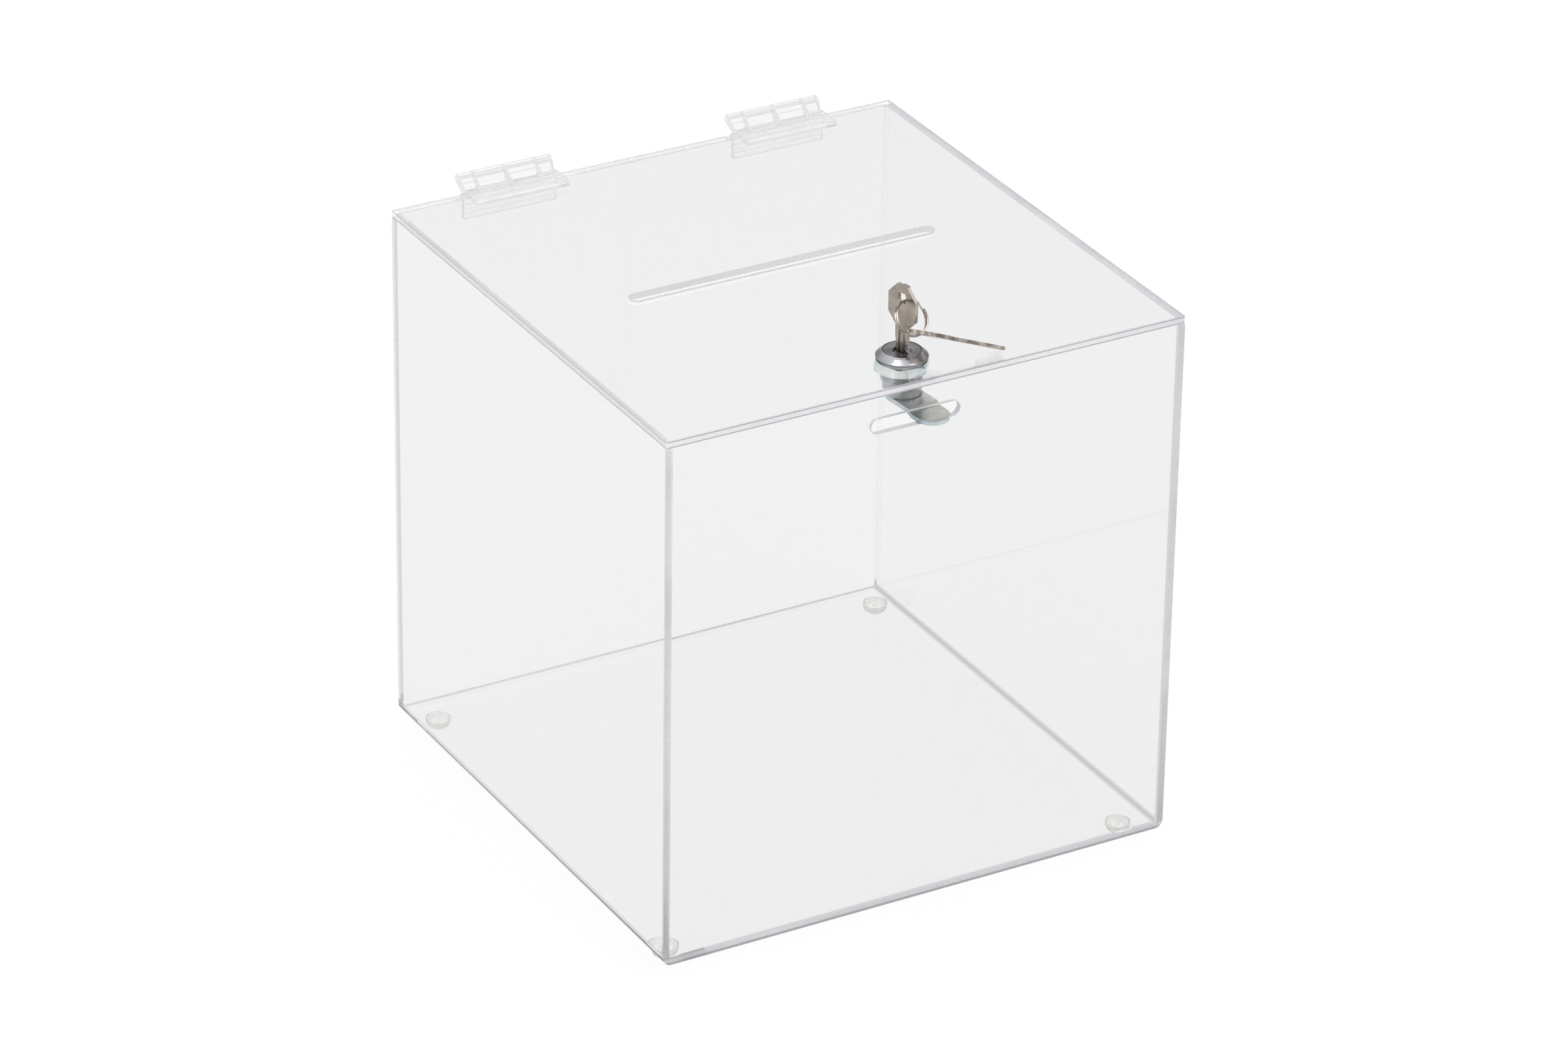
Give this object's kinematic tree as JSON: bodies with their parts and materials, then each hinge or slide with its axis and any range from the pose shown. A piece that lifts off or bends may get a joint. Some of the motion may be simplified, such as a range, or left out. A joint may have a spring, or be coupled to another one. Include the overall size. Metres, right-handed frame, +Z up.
{
  "type": "ballot box",
  "caption": "Clear lockable box with a slotted hinged lid on glued hinges, a cam lock with its key in it, a spare key on a ring, and round feet.",
  "frame": {"origin": "on the table, under the middle of the box", "axes": "+Z up, +X to the right seen from the front, +Y to the back, where the hinges are"},
  "size_m": [0.25, 0.2629, 0.2878],
  "materials": {
    "clear_sheet": "clear cast sheet, polished",
    "clear_hinge": "clear extruded plastic",
    "clear_foot": "soft clear bumper",
    "bezel_chrome": "satin chrome, cast",
    "plug_chrome": "satin chrome",
    "blue_zinc": "blue passivated zinc plate",
    "nickel_key": "nickel plate, scratched",
    "ring_steel": "bright nickel plate",
    "wafer_brass": "stamped",
    "spring_steel": "plain"
  },
  "bodies": {
    "box": {"box_shell": "clear_sheet", "front_panel": "clear_sheet", "back_panel": "clear_sheet", "left_hinge_body_leaf": "clear_hinge", "right_hinge_body_leaf": "clear_hinge", "left_hinge_pin": "clear_hinge", "right_hinge_pin": "clear_hinge", "foot_front_left": "clear_foot", "foot_front_right": "clear_foot", "foot_back_left": "clear_foot", "foot_back_right": "clear_foot"},
    "lid": {"lid": "clear_sheet", "left_hinge_lid_leaf": "clear_hinge", "right_hinge_lid_leaf": "clear_hinge", "lock_housing": "bezel_chrome", "lock_nut": "blue_zinc"},
    "lock_core": {"lock_plug": "plug_chrome", "lock_wafers": "wafer_brass", "wafer_springs": "spring_steel", "lock_cam": "blue_zinc", "cam_washer": "blue_zinc", "cam_screw": "blue_zinc"},
    "key": {"key_in_lock": "nickel_key"},
    "ring": {"key_ring": "ring_steel"},
    "spare": {"spare_key": "nickel_key"}
  },
  "joints": [
    {"name": "lid_hinge", "type": "hinge", "parent": "box", "child": "lid", "pos_m": [0, 0.13, 0.2595], "axis": [-1, 0, 0], "range_deg": [0, 240]},
    {"name": "lock_turn", "type": "hinge", "parent": "lid", "child": "lock_core", "pos_m": [0, -0.101, 0.2545], "axis": [0, 0, 1], "range_deg": [-90, 0]},
    {"name": "key_slide", "type": "slide", "parent": "lock_core", "child": "key", "axis": [0, 0, 1], "range_m": [0, 0.018]},
    {"name": "ring_swing", "type": "hinge", "parent": "key", "child": "ring", "pos_m": [0.00021, -0.1021, 0.28057], "axis": [-0.9816, -0.1908, 0], "range_deg": [0, 150]},
    {"name": "spare_swing", "type": "hinge", "parent": "ring", "child": "spare", "pos_m": [0.00394, -0.11053, 0.26824], "axis": [-0.8904, -0.3996, -0.2178], "range_deg": [0, 40]}
  ]
}
